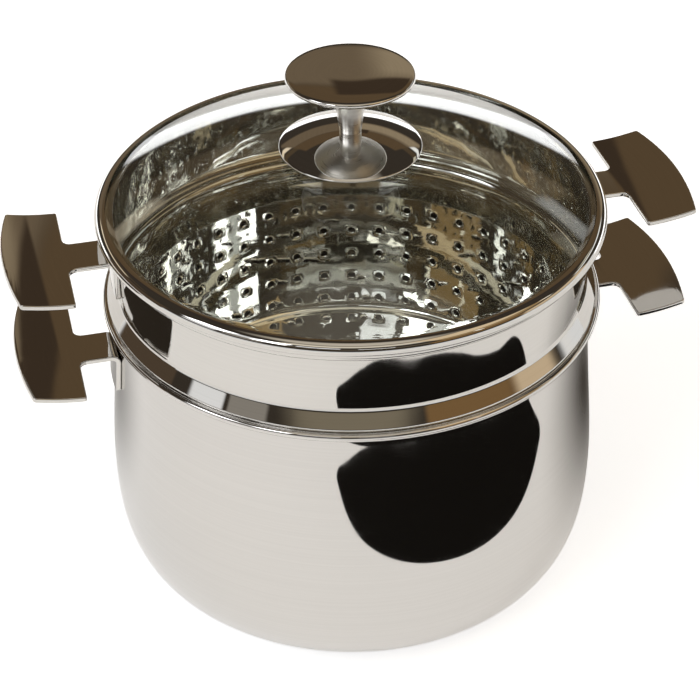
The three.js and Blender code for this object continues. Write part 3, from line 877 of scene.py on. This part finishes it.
# Dark card, with its outline as (x, y, rounding) seen from the camera, and soft patches of painted shadow
CARD_TONE = (0.012, 0.011, 0.010)
CARD = [(-0.040, -0.350, 0.014), (0.060, -0.388, 0.060), (0.240, -0.300, 0.060), (0.345, -0.105, 0.025),
        (0.290, -0.048, 0.016), (0.150, -0.172, 0.060), (0, -0.292, 0.030)]
CARD_Z = 0.001
SHADE_TONE = (0.06, 0.05, 0.04)
SHADE_Z = 0.0006
SHADE_SIDES = 48

# The room's tone by height in degrees, its two ends first
ROOM = [(-90, (1, 1, 1)), (90, (0.70, 0.63, 0.52)), (4.5, (1, 1, 1)), (6, (0.05, 0.04, 0.03)),
        (66, (0.05, 0.04, 0.03)), (76, (0.65, 0.58, 0.47))]
# Windows and panels, later ones over earlier ones, in degrees: turn to the right from straight behind the
# cooker, half width, low edge, high edge, softness, and their colour
WINDOWS = [
    # Behind: white low down, brown panels above
    (0, 60, -20, 5, 1, (2.4, 2.4, 2.4)),
    (0, 75, 31.5, 36, 1, (0.10, 0.07, 0.04)),
    (0, 30, 19, 31.5, 1.5, (0.19, 0.14, 0.088)),
    (0, 30, 31.5, 42, 1, (0.13, 0.085, 0.045)),
    (16, 14, 20, 29, 2, (0.36, 0.28, 0.18)),
    # Strips of light to the right and left of that, and a panel high in front
    (48, 18, 25.5, 29.6, 1, (1.2, 1.2, 1.15)),
    (-48, 18, 25.5, 29.6, 1, (1.1, 0.93, 0.68)),
    (180, 40, 50, 66, 3, (0.95, 0.86, 0.70)),
    # A small dark panel behind and a small light one to its right
    (3.5, 5, 29.5, 34.5, 0.5, (0.06, 0.04, 0.025)),
    (46, 7, 32, 35.8, 0.6, (0.70, 0.65, 0.50)),
    # Right: light low down, amber panels with two thin streaks above
    (68, 8, 2, 9, 2, (1.05, 1.03, 1.0)),
    (86, 20, 8, 24, 2, (0.78, 0.60, 0.39)),
    (125, 22, 16, 31, 1.5, (0.25, 0.145, 0.06)),
    (110, 30, 32, 45, 1, (0.42, 0.28, 0.13)),
    (110, 30, 45, 68, 2, (0.90, 0.70, 0.45)),
    (81, 1.5, 32, 40, 0.5, (1.6, 1.5, 1.3)),
    (121, 1.5, 32, 40, 0.5, (1.6, 1.5, 1.3)),
    # Front: a narrow window over a brown panel
    (169, 8, 32.5, 34.4, 0.4, (2.4, 2.4, 2.4)),
    (180, 34, 27, 31, 1, (0.26, 0.22, 0.155)),
    # Left and round to the front: dark low down, tall white windows above
    (-80, 18, -2, 24, 1, (0.10, 0.07, 0.045)),
    (-134, 9, 16, 31, 1, (0.33, 0.30, 0.26)),
    (-114, 8, 16, 31, 1, (1.05, 1.05, 1.05)),
    (-112, 11, 32, 48, 1, (4.8, 4.8, 4.9)),
    (-129, 6, 32, 48, 1, (1.0, 1.0, 1.0)),
    (-143, 8, 32, 48, 1, (4.8, 4.8, 4.9)),
    (-165, 10, 35.7, 42, 0.4, (1.4, 1.4, 1.45)),
]


def from_camera(place):
    """A place given as the camera sees it, x to the right and y away, in the frame."""
    return Matrix.Rotation(-VIEW_TURN, 3, "Z") @ Vector(place)


def camera():
    """Camera at the photograph's place, with its lens."""
    data = bpy.data.cameras.new("camera")
    data.sensor_width = SENSOR
    data.lens = SENSOR * LENS_WIDTHS
    made = bpy.data.objects.new("camera", data)
    bpy.context.scene.collection.objects.link(made)
    away = from_camera((0, -math.cos(VIEW_RISE), math.sin(VIEW_RISE)))
    place = Matrix.Translation(Vector((0, 0, RIM_Z * MM)) + away * VIEW_REACH)
    turn = Matrix.Rotation(VIEW_YAW - VIEW_TURN, 4, "Z")
    pitch = Matrix.Rotation(math.pi / 2 - VIEW_PITCH, 4, "X")
    roll = Matrix.Rotation(VIEW_ROLL, 4, "Z")
    made.matrix_world = place @ turn @ pitch @ roll
    bpy.context.scene.camera = made


def stage_piece(bm, name, colour, glow):
    """A flat piece of the studio, with a faint grain."""
    made, tree, shader = finish(name)
    grain = node(tree, "TexNoise", Vector=object_place(tree), Scale=3, Detail=2)
    tone = two_tone(tree, grain.outputs["Fac"], [c * 0.98 for c in colour], colour)
    tree.links.new(tone, shader.inputs["Base Color"])
    tree.links.new(tone, shader.inputs["Emission Color"])
    shader.inputs["Emission Strength"].default_value = glow
    shader.inputs["Roughness"].default_value = 0.9
    shader.inputs["Specular IOR Level"].default_value = 0
    obj = placed(bm, name, made)
    return obj


def only_mirrored(obj):
    """Leaves a piece of the studio in reflections alone."""
    obj.visible_camera = False
    obj.visible_diffuse = False
    obj.visible_shadow = False
    obj.visible_transmission = False


def floor():
    """Plain pale floor, lit a little from below like a light table, and more so for the camera."""
    bm = bmesh.new()
    bmesh.ops.create_circle(bm, cap_ends=True, segments=FLOOR_SIDES, radius=FLOOR_R)
    made = stage_piece(bm, "floor", FLOOR_TONE, FLOOR_GLOW)
    tree = made.data.materials[0].node_tree
    glow = tree.nodes["Principled BSDF"].inputs["Emission Color"]
    seen = node(tree, "LightPath").outputs["Is Camera Ray"]
    tree.links.new(mixed(tree, seen, glow.links[0].from_socket, FLOOR_SEEN), glow)


def flag():
    """A dark card beside the cooker, off camera, that gives the polished walls something to mirror."""
    bm = bmesh.new()
    verts = [bm.verts.new((x, y, CARD_Z)) for x, y, _ in CARD]
    bm.faces.new(verts)
    round_corners(bm, verts, [rounding for _, _, rounding in CARD])
    bmesh.ops.rotate(bm, matrix=Matrix.Rotation(-VIEW_TURN, 3, "Z"), verts=bm.verts)
    only_mirrored(stage_piece(bm, "flag", CARD_TONE, 0))


def shade(name, x, y, size, strength):
    """A soft patch of painted shadow on the floor, off camera, that darkens a side of the polished walls.
    """
    middle = from_camera((x, y, SHADE_Z))
    bm = bmesh.new()
    bmesh.ops.create_circle(bm, cap_ends=True, segments=SHADE_SIDES, radius=size,
                            matrix=Matrix.Translation(middle))
    made = stage_piece(bm, name, SHADE_TONE, 0)
    tree = made.data.materials[0].node_tree
    away = node(tree, "VectorMath", {"operation": "DISTANCE"}, i0=object_place(tree), i1=middle)
    fade = carried(tree, away.outputs["Value"], (0, size), (strength, 0), "SMOOTHSTEP")
    tree.links.new(fade, tree.nodes["Principled BSDF"].inputs["Alpha"])
    only_mirrored(made)


def lamp(name, kind, power):
    """A lamp that shows in no reflection."""
    data = bpy.data.lights.new(name, kind)
    data.energy = power
    made = bpy.data.objects.new(name, data)
    made.visible_glossy = False
    made.visible_transmission = False
    bpy.context.scene.collection.objects.link(made)
    return made


def sun(name, turn, rise, spread, power):
    """Even light from one side, by angles in degrees."""
    made = lamp(name, "SUN", power)
    made.data.angle = math.radians(spread)
    made.rotation_euler = (math.radians(90 - rise), 0, math.radians(turn))


def pool(place, size, power):
    """A round lamp that brightens the floor's left side for the pot to mirror."""
    made = lamp("pool_light", "AREA", power)
    made.data.shape = "DISK"
    made.data.size = size
    made.location = from_camera(place)
    made.visible_camera = False


def window_mask(tree, around, height, window):
    """Share of a window in the room's tone, soft at its edges."""
    middle, half, low, high, soft, _ = window
    off = calc(tree, "SUBTRACT", around, math.radians(middle))
    off = calc(tree, "WRAP", off, math.pi, -math.pi)
    off = calc(tree, "ABSOLUTE", off)
    mask = 1
    for value, edge, shares in ((off, half, (1, 0)), (height, low, (0, 1)), (height, high, (1, 0))):
        reach = (math.radians(edge - soft), math.radians(edge + soft))
        mask = calc(tree, "MULTIPLY", carried(tree, value, reach, shares, "SMOOTHSTEP"), mask)
    return mask


def room():
    """Surroundings in the reflections: white near the floor, a dark warm room above it, with windows."""
    world = bpy.data.worlds.new("room")
    bpy.context.scene.world = world
    world.use_nodes = True
    tree = world.node_tree
    ahead = node(tree, "TexCoord").outputs["Generated"]
    turned = node(tree, "Mapping", Vector=ahead, Rotation=(0, 0, VIEW_TURN))
    split = node(tree, "SeparateXYZ", Vector=turned.outputs[0])
    height = calc(tree, "ARCSINE", split.outputs["Z"])
    around = calc(tree, "ARCTAN2", split.outputs["X"], split.outputs["Y"])
    level = carried(tree, height, (math.radians(-90), math.radians(90)), (0, 1))
    tone = ramp(tree, level, [((90 + rise) / 180, colour) for rise, colour in ROOM])
    for window in WINDOWS:
        tone = mixed(tree, window_mask(tree, around, height, window), tone, (*window[-1], 1))
    seen = node(tree, "LightPath").outputs["Is Camera Ray"]
    plain = mixed(tree, seen, tone, (1, 1, 1, 1))
    tree.links.new(plain, tree.nodes["Background"].inputs["Color"])


camera()
floor()
flag()
# Painted shadows on the floor behind the pot, seen only in its reflections.
shade("right_shade", 0.21, 0.11, size=0.19, strength=0.95)
shade("left_shade", -0.21, 0.11, size=0.13, strength=0.6)
room()
sun("top_light", turn=0, rise=90, spread=90, power=0.65)
sun("front_light", turn=-40, rise=40, spread=70, power=0.1)
pool((-0.2, -0.2, 0.5), size=0.3, power=0.4)
bpy.context.scene.view_settings.view_transform = "Standard"
bpy.context.scene.cycles.max_bounces = 24
bpy.context.scene.cycles.glossy_bounces = 16
bpy.context.scene.cycles.transmission_bounces = 16
